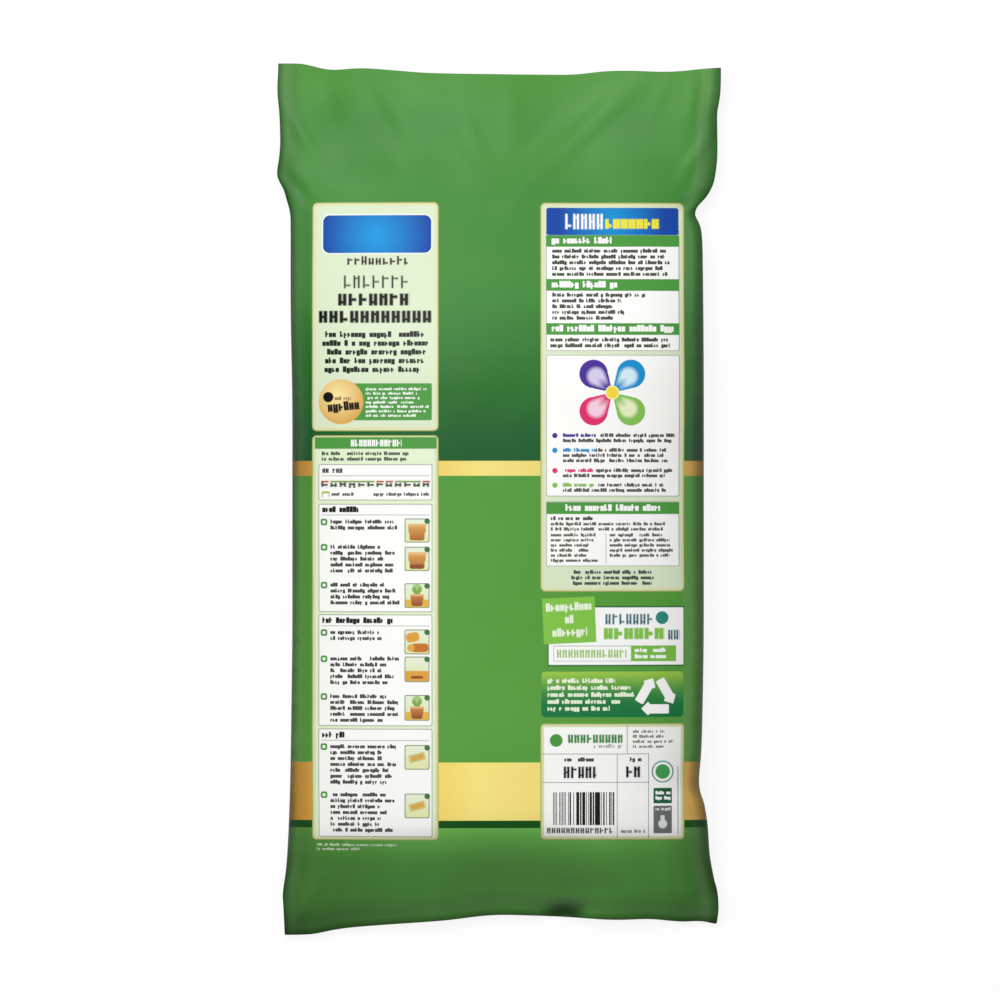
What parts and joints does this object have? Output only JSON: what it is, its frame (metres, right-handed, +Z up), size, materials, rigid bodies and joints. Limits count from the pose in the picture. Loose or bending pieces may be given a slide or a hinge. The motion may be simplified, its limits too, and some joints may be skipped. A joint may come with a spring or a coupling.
{
  "type": "compost bag",
  "caption": "Sealed pillow bag of printed green film filled with potting compost, lying flat, its back with two columns of care panels upwards.",
  "frame": {"origin": "on the floor, under the middle of the bag's bounding box", "axes": "+X across the bag, to the right when its print is read; +Y along the bag towards its top end; +Z up, out of the printed back"},
  "size_m": [0.2514, 0.4926, 0.0624],
  "materials": {
    "printed_film": "satin printed polyethylene film, green with gold bands and pale panels"
  },
  "bodies": {
    "root": {"compost_bag": "printed_film"}
  },
  "joints": []
}
